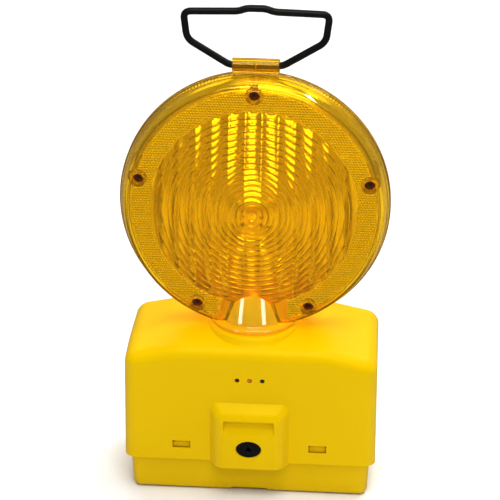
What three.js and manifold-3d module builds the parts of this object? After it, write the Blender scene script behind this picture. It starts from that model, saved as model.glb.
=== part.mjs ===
// A battery barricade warning light: a yellow case in two pieces that holds two lantern batteries, a round
// amber lens head that swivels on the case, and a wire carrying handle that folds on the top of the head.
// Millimetres, +Z up. The origin is on the floor, under the middle of the part's bounding box.

import * as THREE from 'three';
import { mergeVertices } from 'three/addons/utils/BufferGeometryUtils.js';
import Module from 'manifold-3d';

const wasm = await Module();
wasm.setup();

// ---- Driving dimensions ----
const GAP = 0.3; // between pieces that rest on each other
const WALL = 2.6; // moulded wall of the case
const CASE_SHIFT_Y = 4.5; // half of what the lock boss stands proud, which centres the whole on the origin

const HOOD = { width: 190.5, depth: 89, cornerR: 9, bottomZ: 29, roofZ: 128, browZ: 121.5 };
const ROOF = { flatHalf: 54, fall: 8.5, edgeR: 7, breakY: -12 };
const TRAY = { width: 183, depth: 83, bottomWidth: 179, bottomDepth: 79, cornerR: 7, bottomZ: 1, lipZ: 42 };
const SOLE = { thickness: 4, chamfer: 4 };
const RIB = { thickness: 1.8, half: 37, topZ: 24 }; // keeps the batteries upright
const KEEPER = { tabHalf: 16, tabTopZ: 56, barX0: 6.2, barX1: 12.5, barZ0: 47.4, barZ1: 50.6 };
const LEDGE = { z0: 43.9, z1: 46.4 }; // ridge inside the hood that comes down on the seal
const CHANNEL = { width: 26, depth: 2.6 }; // groove across the underside for the barricade bracket
const BOLT = { holeR: 6.3, nutR: 10.9, nutHeight: 9, boreR: 5.4 };
const FOOT_PAD = { r: 5, x: 80, frontY: -38, rearY: 32 };

const TURRET = { r: 34, footZ: 119.8, topZ: 128.5 }; // flat round seat on the roof for the swivel foot
const BOSS = { halfBase: 29.5, halfFace: 23.5, baseTopZ: 78.5, faceTopZ: 71, bottomZ: 27.6, out: 9 };
const PULL = { half: 19, topZ: 67.8, floorZ: 62.4, lipZ: 57.6, depth: 2 }; // finger groove in the boss
const LOCK = { z: 44, halfWidth: 9.4, halfHeight: 6.8, barrelR: 5, shankR: 3.5, camLength: 10.5 };
const WINDOW = { x: 51.5, width: 13.5, bottomZ: 38.6, topZ: 44.8 };
const EYES = { z: 97.7, pitch: 9.4, r: 1.8 }; // light sensor, status LED and mode button, in a row

const BATTERY = { side: 67, height: 98, x: 49, bottomZ: 5.3, edgeR: 4 };
const SPRING = { height: 8.5, turns: 3, baseR: 6.5, tipR: 3.6, wireR: 0.5, cornerOffset: 22 };
const CARRIER = { width: 164, depth: 56, bottomZ: 114.2, height: 2.5, screwX: 36 };
const BOARD = { width: 62, bottomZ: 84, topZ: 111.5, y: -36.4, thickness: 1.4, screwX: 26, screwZ: 107.5 };

const LENS = {
  z: 224.5, r: 100, frontR: 95, bandR: 92, domeR: 75.5, bandY: 19.7, domeY: 31, wall: 2.4, cutZ: 133.6,
};
const SCREW = {
  circleR: 87, angles: [90, 14.5, 165.5, -61.5, 241.5], headR: 4, shankR: 1.75, headDepth: 7.8,
};
const RING = { innerR: 76.5, outerR: 89.5, thickness: 1.6 };
const FOOT = {
  flangeR: 33, flangeZ: 130.2, coneZ: 133.2, coneR: 32, topZ: 164, topR: 22, stubR: 24, stubZ: 118,
};
const POST = { width: 30, depth: 16, wall: 1.8, bottomZ: 157.5, topZ: 229, baseR: 17.5 };
const LAMP_Z = 215.5;
const BARREL = { z: LENS.z + 104.5, r: 5.2, boreR: 3.0, half: 17 };
const HANDLE = {
  wireR: 2.6, elbowX: 49.6, elbowZ: 18.6, cornerX: 52, cornerZ: 36.9, barZ: 39.4, kinkZ: 42.2, kinkHalf: 12,
};

// ---- Finishes ----
const finish = (color, roughness, metalness = 0, opacity = 1) => new THREE.MeshStandardMaterial({
  color, roughness, metalness, opacity, transparent: opacity < 1,
});
const YELLOW = finish(0xf2c200, 0.35);
const AMBER = finish(0xe89a10, 0.12, 0, 0.6);
const REFLECTOR = finish(0xf0b414, 0.2);
const BLACK = finish(0x141416, 0.45);
const RUBBER = finish(0x3a3a3a, 0.8);
const STEEL = finish(0xb4b6ba, 0.3, 1);
const BRASS = finish(0xc9a24a, 0.35, 1);
const BATTERY_SKIN = finish(0x2f4f86, 0.4);
const BOARD_GREEN = finish(0x1f6b3a, 0.5);
const LED_AMBER = finish(0xffb020, 0.15, 0, 0.8);
const DARK_CLEAR = finish(0x2a1a10, 0.1);

// ---- Geometry helpers ----
function toSolid(geometry) {
  const bare = geometry.index ? geometry.toNonIndexed() : geometry.clone();
  bare.deleteAttribute('normal');
  bare.deleteAttribute('uv');
  const merged = mergeVertices(bare, 1e-4);
  return new wasm.Manifold(new wasm.Mesh({
    numProp: 3,
    vertProperties: merged.attributes.position.array,
    triVerts: new Uint32Array(merged.index.array),
  }));
}

function toGeometry(solid) {
  const made = solid.getMesh();
  const positions = new Float32Array(made.numVert * 3);
  for (let i = 0; i < made.numVert; i += 1) {
    positions.set(made.vertProperties.subarray(i * made.numProp, i * made.numProp + 3), i * 3);
  }
  const geometry = new THREE.BufferGeometry();
  geometry.setAttribute('position', new THREE.BufferAttribute(positions, 3));
  geometry.setIndex(new THREE.BufferAttribute(made.triVerts, 1));
  geometry.computeVertexNormals();
  return geometry;
}

const join = (...solids) => solids.reduce((sum, next) => sum.add(next));
const cut = (from, ...tools) => tools.reduce((left, tool) => left.subtract(tool), from);

const block = (x0, x1, y0, y1, z0, z1) => {
  const box = new THREE.BoxGeometry(x1 - x0, y1 - y0, z1 - z0);
  return toSolid(box.translate((x0 + x1) / 2, (y0 + y1) / 2, (z0 + z1) / 2));
};

// A solid turned about Z from (radius, height) points that close on themselves or on the axis.
function turned(profile, segments = 32) {
  const area = profile.reduce((sum, [r, h], i) => {
    const [nextR, nextH] = profile[(i + 1) % profile.length];
    return sum + r * nextH - nextR * h;
  }, 0);
  const ordered = area > 0 ? profile : [...profile].reverse();
  const lathe = new THREE.LatheGeometry(ordered.map(([r, h]) => new THREE.Vector2(r, h)), segments);
  return toSolid(lathe.rotateX(Math.PI / 2));
}

const pipe = (innerR, outerR, z0, z1, segments = 40) => turned(
  [[innerR, z0], [outerR, z0], [outerR, z1], [innerR, z1], [innerR, z0]],
  segments,
);

// A round bar from y0 to y1 with its axis along Y, at (x, z).
function barY(r, x, z, y0, y1, segments = 20) {
  const bar = new THREE.CylinderGeometry(r, r, y1 - y0, segments);
  return toSolid(bar.translate(x, (y0 + y1) / 2, z));
}

function barZ(r, x, y, z0, z1, segments = 20) {
  const bar = new THREE.CylinderGeometry(r, r, z1 - z0, segments);
  return toSolid(bar.rotateX(Math.PI / 2).translate(x, y, (z0 + z1) / 2));
}

function barX(r, y, z, x0, x1, segments = 20) {
  const bar = new THREE.CylinderGeometry(r, r, x1 - x0, segments);
  return toSolid(bar.rotateZ(Math.PI / 2).translate((x0 + x1) / 2, y, z));
}

function roundedRect(width, depth, r) {
  const x = width / 2 - r;
  const y = depth / 2 - r;
  const shape = new THREE.Shape();
  shape.absarc(x, y, r, 0, Math.PI / 2);
  shape.absarc(-x, y, r, Math.PI / 2, Math.PI);
  shape.absarc(-x, -y, r, Math.PI, 1.5 * Math.PI);
  shape.absarc(x, -y, r, 1.5 * Math.PI, 2 * Math.PI);
  shape.closePath();
  return shape;
}

const raised = (shape, z0, z1, curveSegments = 3) => {
  const slab = new THREE.ExtrudeGeometry(shape, { depth: z1 - z0, bevelEnabled: false, curveSegments });
  return slab.translate(0, 0, z0);
};

// A rounded box whose plan grows evenly from the bottom size to the top size.
function draftedBox(bottom, top, r, z0, z1) {
  const geometry = raised(roundedRect(bottom[0], bottom[1], r), z0, z1);
  const place = geometry.attributes.position;
  for (let i = 0; i < place.count; i += 1) {
    const share = (place.getZ(i) - z0) / (z1 - z0);
    const growX = 1 + share * (top[0] / bottom[0] - 1);
    const growY = 1 + share * (top[1] / bottom[1] - 1);
    place.setX(i, place.getX(i) * growX);
    place.setY(i, place.getY(i) * growY);
  }
  return toSolid(geometry);
}

const uprightBox = (width, depth, r, z0, z1) => draftedBox([width, depth], [width, depth], r, z0, z1);

// A shape drawn in (x, z) and swept along Y from y0 to y1.
const sweptAlongY = (shape, y0, y1, curveSegments = 3) => {
  const slab = raised(shape, 0, y1 - y0, curveSegments);
  return toSolid(slab.rotateX(Math.PI / 2).translate(0, y1, 0));
};

// A shape drawn in (y, z) and swept along X from x0 to x1.
const sweptAlongX = (shape, x0, x1) => toSolid(raised(shape, x0, x1).applyMatrix4(
  new THREE.Matrix4().makeBasis(
    new THREE.Vector3(0, 1, 0),
    new THREE.Vector3(0, 0, 1),
    new THREE.Vector3(1, 0, 0),
  ),
));

const ovalShape = (halfWidth, halfHeight, z) => {
  const shape = new THREE.Shape();
  shape.absellipse(0, z, halfWidth, halfHeight, 0, 2 * Math.PI);
  return shape;
};

function tubeAlong(path, r, steps, sides) {
  const section = new THREE.Shape();
  section.absarc(0, 0, r, 0, 2 * Math.PI);
  return new THREE.ExtrudeGeometry(section, {
    extrudePath: path,
    steps,
    curveSegments: sides / 2,
    bevelEnabled: false,
  });
}

// ---- Everything hangs in one group, set back by CASE_SHIFT_Y ----
const part = new THREE.Group();
const assembly = new THREE.Group();
assembly.position.y = CASE_SHIFT_Y;
part.add(assembly);

function add(name, solidOrGeometry, material, group = assembly) {
  const geometry = solidOrGeometry.isBufferGeometry ? solidOrGeometry : toGeometry(solidOrGeometry);
  const mesh = new THREE.Mesh(geometry, material);
  mesh.name = name;
  group.add(mesh);
  return mesh;
}

// ---- Hood: the upper case ----
// How far the roof has fallen at x: flat in the middle, sloping to the two sides.
const roofFall = (x, half) => {
  const beyond = Math.max(0, Math.abs(x) - ROOF.flatHalf);
  return (ROOF.fall * beyond) / (half - ROOF.flatHalf);
};

function hoodBlock(inset, bottomZ) {
  const half = HOOD.width / 2 - inset;
  const back = HOOD.depth / 2 - inset;
  const roof = HOOD.roofZ - inset;
  const brow = HOOD.browZ - inset;
  const r = ROOF.edgeR - inset;

  const side = new THREE.Shape();
  side.moveTo(-back, bottomZ);
  side.lineTo(back, bottomZ);
  side.absarc(back - r, roof - r, r, 0, Math.PI / 2);
  side.lineTo(ROOF.breakY, roof);
  side.quadraticCurveTo((ROOF.breakY - back) / 2, roof, -back + r, brow + r * 0.1);
  side.quadraticCurveTo(-back, brow - r * 0.2, -back, brow - r);

  const stations = [-half, -ROOF.flatHalf, ROOF.flatHalf, half];
  const inSteps = { depth: 3, steps: 3, bevelEnabled: false, curveSegments: 3 };
  const swept = new THREE.ExtrudeGeometry(side, inSteps);
  const place = swept.attributes.position;
  for (let i = 0; i < place.count; i += 1) {
    const x = stations[Math.round(place.getZ(i))];
    const fall = place.getY(i) > bottomZ ? roofFall(x, half) : 0;
    place.setXYZ(i, x, place.getX(i), place.getY(i) - fall);
  }

  const plan = draftedBox(
    [2 * half, 2 * back],
    [2 * half - 1.6, 2 * back - 1.2],
    HOOD.cornerR - inset,
    bottomZ,
    HOOD.roofZ + 1,
  );

  const shoulderZ = roof - ROOF.fall + 0.6;
  const front = new THREE.Shape();
  front.moveTo(-half - 1, bottomZ - 1);
  front.lineTo(half + 1, bottomZ - 1);
  front.lineTo(half + 1, shoulderZ - r - 3);
  front.quadraticCurveTo(half, shoulderZ - 1, half - r - 3, shoulderZ + 1.6);
  front.lineTo(ROOF.flatHalf, roof + 0.6);
  front.lineTo(-ROOF.flatHalf, roof + 0.6);
  front.lineTo(-half + r + 3, shoulderZ + 1.6);
  front.quadraticCurveTo(-half, shoulderZ - 1, -half - 1, shoulderZ - r - 3);
  return toSolid(swept).intersect(plan).intersect(sweptAlongY(front, -back - 5, back + 5));
}

// The boss that carries the lock: a block whose top and sides slope back to the front wall, open below.
function lockBoss(inset, backY, bottomZ = BOSS.bottomZ) {
  const faceY = -HOOD.depth / 2 - BOSS.out + inset;
  const slopeX = (BOSS.halfBase - BOSS.halfFace) / BOSS.out;
  const slopeZ = (BOSS.baseTopZ - BOSS.faceTopZ) / BOSS.out;
  const box = new THREE.BoxGeometry(2, 2, 2);
  const place = box.attributes.position;
  for (let i = 0; i < place.count; i += 1) {
    const y = place.getY(i) < 0 ? faceY : backY;
    const run = y - faceY;
    const halfX = BOSS.halfFace - inset + slopeX * run;
    const topZ = BOSS.faceTopZ - inset + slopeZ * run;
    const z = place.getZ(i) > 0 ? topZ : bottomZ;
    place.setXYZ(i, Math.sign(place.getX(i)) * halfX, y, z);
  }
  return toSolid(box);
}

function makeHood() {
  const frontY = -HOOD.depth / 2;
  const innerY = frontY + WALL;
  const faceY = frontY - BOSS.out;
  const bossInnerX = BOSS.halfFace - 1;

  const ledge = cut(
    uprightBox(HOOD.width - 4, HOOD.depth - 4, 7, LEDGE.z0, LEDGE.z1),
    uprightBox(HOOD.width - 12.5, HOOD.depth - 12.5, 5, LEDGE.z0 - 1, LEDGE.z1 + 1),
  );
  let hood = join(
    cut(hoodBlock(0, HOOD.bottomZ), hoodBlock(WALL, HOOD.bottomZ - 1)),
    ledge.intersect(hoodBlock(1, HOOD.bottomZ)),
    barZ(TURRET.r, 0, 0, TURRET.footZ, TURRET.topZ, 40),
  );
  hood = cut(hood, barZ(TURRET.r - WALL, 0, 0, TURRET.footZ - 5, HOOD.roofZ - WALL, 40));
  for (const x of [-BOARD.screwX, BOARD.screwX]) {
    hood = hood.add(barY(3, x, BOARD.screwZ, innerY - 0.5, BOARD.y - GAP, 12));
  }
  for (const x of [-CARRIER.screwX, CARRIER.screwX]) {
    hood = hood.add(barZ(3.4, x, 0, CARRIER.bottomZ + CARRIER.height + GAP, HOOD.roofZ - 1, 12));
  }

  const boss = cut(lockBoss(0, innerY), lockBoss(WALL, innerY + 1, BOSS.bottomZ - 1));
  hood = cut(hood, block(-bossInnerX, bossInnerX, frontY - 1, innerY + 6, HOOD.bottomZ - 1, 64)).add(boss);
  hood = cut(hood, block(-21, 21, innerY - 3, innerY + 6, HOOD.bottomZ - 1, 62));

  const ramp = (PULL.floorZ - PULL.lipZ) / PULL.depth;
  const pull = new THREE.Shape();
  pull.moveTo(faceY - 1, PULL.lipZ - ramp);
  pull.lineTo(faceY + PULL.depth, PULL.floorZ);
  pull.lineTo(faceY + PULL.depth, PULL.topZ);
  pull.lineTo(faceY - 1, PULL.topZ);
  hood = cut(hood, sweptAlongX(pull, -PULL.half, PULL.half));

  hood = cut(
    hood,
    sweptAlongY(ovalShape(LOCK.halfWidth, LOCK.halfHeight, LOCK.z), faceY - 1, faceY + WALL + 1, 12),
    barZ(FOOT.stubR + 0.5, 0, 0, HOOD.roofZ - 8, HOOD.roofZ + 2, 40),
  );
  for (const x of [-WINDOW.x, WINDOW.x]) {
    const half = WINDOW.width / 2;
    hood = cut(
      hood,
      block(x - half, x + half, frontY - 1, innerY + 1, WINDOW.bottomZ, WINDOW.topZ),
      block(x - half, x + half, innerY - 1.5, innerY + 1, HOOD.bottomZ - 1, WINDOW.bottomZ + 1),
      block(x - half, x + half, innerY - 1, innerY + 5, LEDGE.z0 - 1, LEDGE.z1 + 1),
    );
  }
  for (const step of [-1, 0, 1]) {
    hood = cut(hood, barY(EYES.r, step * EYES.pitch, EYES.z, frontY - 1, innerY + 1, 16));
  }
  return hood;
}
add('hood', makeHood(), YELLOW);

// ---- Tray: the lower case ----
function makeTray() {
  const inside = (z0, z1) => draftedBox(
    [TRAY.bottomWidth - 2 * WALL, TRAY.bottomDepth - 2 * WALL],
    [TRAY.width - 2 * WALL, TRAY.depth - 2 * WALL],
    TRAY.cornerR - WALL,
    z0,
    z1,
  );
  const floorZ = TRAY.bottomZ + SOLE.thickness;
  const sole = draftedBox(
    [TRAY.bottomWidth - 2 * SOLE.chamfer, TRAY.bottomDepth - 2 * SOLE.chamfer],
    [TRAY.bottomWidth, TRAY.bottomDepth],
    5,
    TRAY.bottomZ,
    TRAY.bottomZ + SOLE.chamfer,
  );
  const outer = draftedBox(
    [TRAY.bottomWidth, TRAY.bottomDepth],
    [TRAY.width, TRAY.depth],
    TRAY.cornerR,
    TRAY.bottomZ + SOLE.chamfer,
    TRAY.lipZ,
  );
  let tray = cut(join(sole, outer), inside(floorZ, TRAY.lipZ + 1));

  const ribOffset = BATTERY.side / 2 + GAP + RIB.thickness / 2;
  const halfRib = RIB.thickness / 2;
  const lipY = -TRAY.depth / 2;
  const lug = new THREE.Shape();
  lug.moveTo(lipY + 0.8, 37);
  lug.lineTo(lipY + 0.8, 44.4);
  lug.lineTo(lipY - 0.2, 43.4);
  lug.lineTo(lipY - 0.9, 40.4);
  lug.lineTo(lipY - 0.9, 38.9);
  for (const side of [-1, 1]) {
    for (const x of [side * (BATTERY.x - ribOffset), side * (BATTERY.x + ribOffset)]) {
      tray = tray.add(block(x - halfRib, x + halfRib, -RIB.half, RIB.half, floorZ - 1, RIB.topZ));
    }
    tray = tray.add(sweptAlongX(lug, side * WINDOW.x - 6, side * WINDOW.x + 6));
  }

  const keeperY = lipY + WALL;
  tray = join(
    tray,
    block(-KEEPER.tabHalf, KEEPER.tabHalf, lipY + 0.8, keeperY, TRAY.lipZ - 2, KEEPER.tabTopZ),
    block(KEEPER.barX0, KEEPER.barX1, lipY - 5.5, lipY + 1, KEEPER.barZ0, KEEPER.barZ1),
  );

  const channelHalf = CHANNEL.width / 2;
  const pocketR = BOLT.nutR + 0.4;
  const pocket = cut(
    barZ(pocketR + 2, 0, 0, floorZ - 1, floorZ + 1 + BOLT.nutHeight, 6),
    barZ(pocketR, 0, 0, floorZ + 1, floorZ + 20, 6),
  );
  return cut(
    join(tray, block(-channelHalf, channelHalf, -RIB.half, RIB.half, floorZ - 0.5, floorZ + 1), pocket),
    block(-channelHalf, channelHalf, -60, 60, 0, TRAY.bottomZ + CHANNEL.depth),
    barZ(BOLT.holeR, 0, 0, 0, floorZ + 2, 24),
  );
}
add('base_tray', makeTray(), YELLOW);

for (const [name, sx, sy] of [['fl', -1, -1], ['fr', 1, -1], ['rl', -1, 1], ['rr', 1, 1]]) {
  const padTop = TRAY.bottomZ - GAP;
  const padR = FOOT_PAD.r;
  const pad = turned([[0, 0], [padR - 0.6, 0], [padR, 0.4], [padR, padTop], [0, padTop]], 12);
  const mesh = add(`foot_${name}`, pad, RUBBER);
  mesh.position.set(sx * FOOT_PAD.x, sy < 0 ? FOOT_PAD.frontY : FOOT_PAD.rearY, 0);
}

// The seal lies on the tray's lip and stops short of the keeper and of the two lugs.
add('case_seal', cut(
  uprightBox(TRAY.width - 0.6, TRAY.depth - 0.6, 6.5, TRAY.lipZ + GAP, LEDGE.z0 - GAP),
  uprightBox(TRAY.width - 5, TRAY.depth - 5, 4.5, TRAY.lipZ, LEDGE.z0 + 0.1),
  block(-KEEPER.tabHalf - 0.4, KEEPER.tabHalf + 0.4, -50, -30, 40, 46),
  block(-WINDOW.x - 6.5, -WINDOW.x + 6.5, -50, -40.3, 40, 46),
  block(WINDOW.x - 6.5, WINDOW.x + 6.5, -50, -40.3, 40, 46),
), RUBBER);

const nutZ = TRAY.bottomZ + SOLE.thickness + 1 + GAP;
add('mounting_nut', cut(
  barZ(BOLT.nutR, 0, 0, nutZ, nutZ + BOLT.nutHeight - 1, 6),
  barZ(BOLT.boreR, 0, 0, nutZ - 1, nutZ + BOLT.nutHeight + 1, 20),
), STEEL);

// ---- Batteries, each with two coil terminals ----
class TerminalCoil extends THREE.Curve {
  getPoint(t, target = new THREE.Vector3()) {
    const angle = 2 * Math.PI * SPRING.turns * t;
    const r = THREE.MathUtils.lerp(SPRING.baseR, SPRING.tipR, t);
    return target.set(r * Math.cos(angle), r * Math.sin(angle), SPRING.height * t);
  }
}

const batteryTop = BATTERY.bottomZ + BATTERY.height;
const coilGeometry = tubeAlong(new TerminalCoil(), SPRING.wireR, 18, 4);
for (const [side, s] of [['left', -1], ['right', 1]]) {
  const body = uprightBox(BATTERY.side, BATTERY.side, BATTERY.edgeR, BATTERY.bottomZ, batteryTop - 2);
  const lid = draftedBox(
    [BATTERY.side - 1.5, BATTERY.side - 1.5],
    [BATTERY.side - 4, BATTERY.side - 4],
    BATTERY.edgeR,
    batteryTop - 2.5,
    batteryTop,
  );
  add(`battery_${side}`, join(body, lid), BATTERY_SKIN).position.x = s * BATTERY.x;

  const spots = { positive: [0, 0], negative: [SPRING.cornerOffset, s * SPRING.cornerOffset] };
  for (const [pole, [dx, dy]] of Object.entries(spots)) {
    const coil = add(`battery_${side}_${pole}_spring`, coilGeometry.clone(), STEEL);
    coil.position.set(s * (BATTERY.x + dx), dy, batteryTop + SPRING.wireR + GAP);
    const plateZ = CARRIER.bottomZ - GAP;
    const plate = block(-8, 8, -8, 8, plateZ - 0.5, plateZ);
    add(`contact_${side}_${pole}`, plate, BRASS).position.set(s * (BATTERY.x + dx), dy, 0);
  }
}

// ---- Electronics in the hood ----
const carrierTop = CARRIER.bottomZ + CARRIER.height;
const socketR = 8;
add('contact_carrier', cut(
  uprightBox(CARRIER.width, CARRIER.depth, 4, CARRIER.bottomZ, carrierTop),
  barZ(1.6, CARRIER.screwX, 0, CARRIER.bottomZ - 1, carrierTop + 1, 12),
  barZ(1.6, -CARRIER.screwX, 0, CARRIER.bottomZ - 1, carrierTop + 1, 12),
), BLACK);
for (const [name, x] of [['left', -CARRIER.screwX], ['right', CARRIER.screwX]]) {
  const headZ = CARRIER.bottomZ - GAP;
  const screw = turned([[0, headZ - 2], [2.8, headZ - 2], [2.8, headZ], [1.3, headZ], [1.3, carrierTop],
    [0, carrierTop]], 12);
  add(`carrier_screw_${name}`, screw, STEEL).position.x = x;
}
add('led_socket', cut(
  barZ(socketR, 0, 0, carrierTop + GAP, carrierTop + 5, 20),
  barZ(5.4, 0, 0, carrierTop + 1.8, carrierTop + 6, 20),
), BLACK);

const boardBack = BOARD.y + BOARD.thickness;
let board = block(-BOARD.width / 2, BOARD.width / 2, BOARD.y, boardBack, BOARD.bottomZ, BOARD.topZ);
for (const x of [-BOARD.screwX, BOARD.screwX]) {
  board = cut(board, barY(1.5, x, BOARD.screwZ, BOARD.y - 1, boardBack + 1, 12));
}
add('control_board', board, BOARD_GREEN);
for (const [name, x] of [['left', -BOARD.screwX], ['right', BOARD.screwX]]) {
  const head = barY(2.5, x, BOARD.screwZ, boardBack + GAP, boardBack + GAP + 1.6, 12);
  const shank = barY(1.2, x, BOARD.screwZ, BOARD.y, boardBack + 1, 12);
  add(`board_screw_${name}`, join(head, shank), STEEL);
}
const chipY = BOARD.y - GAP;
add('controller_chip', block(-6, 6, chipY - 1.6, chipY, 100.5, 108), BLACK);

const eyeFront = -HOOD.depth / 2 + 0.9;
const eyeInner = -HOOD.depth / 2 + WALL + 0.4;
const eye = (x, r, flangeR) => join(
  barY(r, x, EYES.z, eyeFront, eyeInner + 1, 14),
  barY(flangeR, x, EYES.z, eyeInner + GAP, chipY, 14),
);
add('light_sensor', eye(-EYES.pitch, 1.5, 2.4), DARK_CLEAR);
add('status_led', eye(0, 1.5, 2.2), LED_AMBER);
const switchBody = block(EYES.pitch - 3, EYES.pitch + 3, chipY - 2.4, chipY, EYES.z - 3, EYES.z + 3);
add('button_switch', switchBody, BLACK);
add('mode_button', join(
  barY(1.5, EYES.pitch, EYES.z, eyeFront, eyeInner + 0.8, 14),
  barY(2.4, EYES.pitch, EYES.z, eyeInner + GAP, eyeInner + 1.1, 14),
), BLACK);

// ---- Lock: an oval bezel in the boss, a barrel that a key turns, a cam that hooks under the keeper ----
const lockFace = -HOOD.depth / 2 - BOSS.out;
const wallBack = lockFace + WALL;
const bezelBack = wallBack + GAP + 1.8;
const bezelFront = ovalShape(LOCK.halfWidth - GAP, LOCK.halfHeight - GAP, LOCK.z);
const bezelFlange = ovalShape(LOCK.halfWidth + 2, LOCK.halfHeight + 1.6, LOCK.z);
add('lock_bezel', cut(
  join(
    sweptAlongY(bezelFront, lockFace + 0.6, bezelBack, 12),
    sweptAlongY(bezelFlange, wallBack + GAP, bezelBack, 12),
  ),
  barY(LOCK.barrelR + 0.2, 0, LOCK.z, lockFace - 1, bezelBack + 1, 24),
), BLACK);

const key = new THREE.CylinderGeometry(2.9, 2.9, 6, 3).translate(0, lockFace + 1.5, LOCK.z);
const camY = bezelBack + GAP + 1 + GAP;
add('lock_barrel', cut(
  join(
    barY(LOCK.barrelR, 0, LOCK.z, lockFace + 1, bezelBack + GAP + 0.5, 24),
    barY(LOCK.barrelR + 1.3, 0, LOCK.z, bezelBack + GAP, bezelBack + GAP + 1, 24),
    barY(LOCK.shankR, 0, LOCK.z, bezelBack, camY + 3.4, 20),
  ),
  toSolid(key),
), BLACK);
add('lock_cam', cut(
  join(
    barY(5.6, 0, LOCK.z, camY, camY + 2, 20),
    block(-2.5, 2.5, camY, camY + 2, LOCK.z - LOCK.camLength, LOCK.z),
  ),
  barY(LOCK.shankR + GAP, 0, LOCK.z, camY - 1, camY + 3, 20),
), STEEL);
add('lock_clip', cut(
  barY(5.2, 0, LOCK.z, camY + 2 + GAP, camY + 3.1, 20),
  barY(LOCK.shankR + 0.15, 0, LOCK.z, camY, camY + 4, 20),
), STEEL);

// ---- Swivel foot of the lens head ----
add('neck_gasket', pipe(FOOT.stubR + 1.2, 31.5, HOOD.roofZ + 0.8, FOOT.flangeZ - GAP), AMBER);

const grooveR = FOOT.stubR - 1.6;
const grooveZ = HOOD.roofZ - WALL - 2.9;
const coneSlope = (FOOT.coneR - FOOT.topR) / (FOOT.topZ - FOOT.coneZ);
const coneRadius = (z) => FOOT.coneR - coneSlope * (z - FOOT.coneZ);
const footWall = 2.5;
let foot = turned([
  [0, FOOT.topZ - footWall],
  [coneRadius(FOOT.topZ) - footWall, FOOT.topZ - footWall],
  [FOOT.coneR - footWall, FOOT.coneZ],
  [FOOT.stubR - 3.4, FOOT.flangeZ],
  [FOOT.stubR - 3.4, FOOT.stubZ],
  [FOOT.stubR, FOOT.stubZ],
  [FOOT.stubR, grooveZ],
  [grooveR, grooveZ],
  [grooveR, HOOD.roofZ - WALL],
  [FOOT.stubR, HOOD.roofZ - WALL],
  [FOOT.stubR, FOOT.flangeZ],
  [FOOT.flangeR - 0.6, FOOT.flangeZ],
  [FOOT.flangeR, FOOT.flangeZ + 0.6],
  [FOOT.flangeR, FOOT.coneZ - 0.8],
  [FOOT.coneR, FOOT.coneZ],
  [FOOT.topR, FOOT.topZ - 1.5],
  [FOOT.topR - 1.5, FOOT.topZ],
  [0, FOOT.topZ],
]);
const slotX = POST.width / 2 + 0.4;
const slotY = POST.depth / 2 + 0.4;
foot = cut(foot, block(-slotX, slotX, -slotY, slotY, 158, 170));
add('lens_foot', foot, AMBER);

add('retainer_ring', cut(
  pipe(grooveR + GAP, 29.5, grooveZ + GAP, HOOD.roofZ - WALL - GAP),
  block(-3, 3, 10, 40, 110, 130),
), STEEL);

// ---- Lens shells ----
// Outline of one shell, from the joint at the middle plane out to the dome, and back along the inside.
function shellProfile() {
  const domeRise = LENS.domeY - LENS.bandY;
  const domeSphereR = (LENS.domeR ** 2 + domeRise ** 2) / (2 * domeRise);
  const domeY = (r) => LENS.domeY - (domeSphereR - Math.sqrt(domeSphereR ** 2 - r ** 2));
  const domeRadii = [60, 40, 20, 0];
  const outside = [
    [LENS.r, 0.8],
    [LENS.r - 1.4, 8],
    [LENS.frontR, LENS.bandY - 2.4],
    [LENS.bandR, LENS.bandY],
    [LENS.domeR, LENS.bandY],
    ...domeRadii.map((r) => [r, domeY(r)]),
  ];
  const inside = [
    ...domeRadii.slice().reverse().map((r) => [r, domeY(r) - LENS.wall]),
    [LENS.domeR, LENS.bandY - LENS.wall],
    [LENS.bandR - 1, LENS.bandY - LENS.wall],
    [LENS.frontR - LENS.wall, LENS.bandY - LENS.wall - 1.6],
    [LENS.r - LENS.wall, 0.8],
  ];
  return [...outside, ...inside, outside[0]];
}

// The lathe turns about Z; a shell's axis lies along Y, dome to the front (side -1) or to the rear (side 1).
function shellSolid(side) {
  const profile = shellProfile();
  const geometry = toGeometry(turned(profile, 32));
  return toSolid(geometry.rotateX(side < 0 ? Math.PI / 2 : -Math.PI / 2).translate(0, 0, LENS.z));
}

const screwSpots = SCREW.angles.map((degrees) => {
  const angle = THREE.MathUtils.degToRad(degrees);
  return [SCREW.circleR * Math.cos(angle), LENS.z + SCREW.circleR * Math.sin(angle)];
});

const coneClearance = turned([
  [0, 100],
  [FOOT.flangeR + 1, 100],
  [FOOT.flangeR + 1, LENS.cutZ],
  [coneRadius(LENS.cutZ) + 0.5, LENS.cutZ],
  [coneRadius(FOOT.topZ) + 0.5, FOOT.topZ + 0.4],
  [0, FOOT.topZ + 0.4],
]);
const belowHead = block(-120, 120, -60, 60, 90, LENS.cutZ);

function makeFrontLens() {
  let shell = shellSolid(-1);
  for (const [x, z] of screwSpots) {
    shell = shell.add(barY(6.4, x, z, -LENS.bandY + 0.4, -1.2, 12));
  }
  for (const [x, z] of screwSpots) {
    shell = cut(
      shell,
      barY(4.9, x, z, -LENS.bandY - 1, -LENS.bandY + SCREW.headDepth, 12),
      barY(2.1, x, z, -LENS.bandY, 0, 8),
    );
  }
  const bedZ = LENS.z + LENS.r - LENS.wall;
  shell = shell.add(block(-BARREL.half - 2, BARREL.half + 2, -8, -0.8, bedZ - 5, bedZ));
  return cut(shell, coneClearance, belowHead, barX(BARREL.r + 0.4, 0, BARREL.z, -17.5, 17.5));
}

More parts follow.
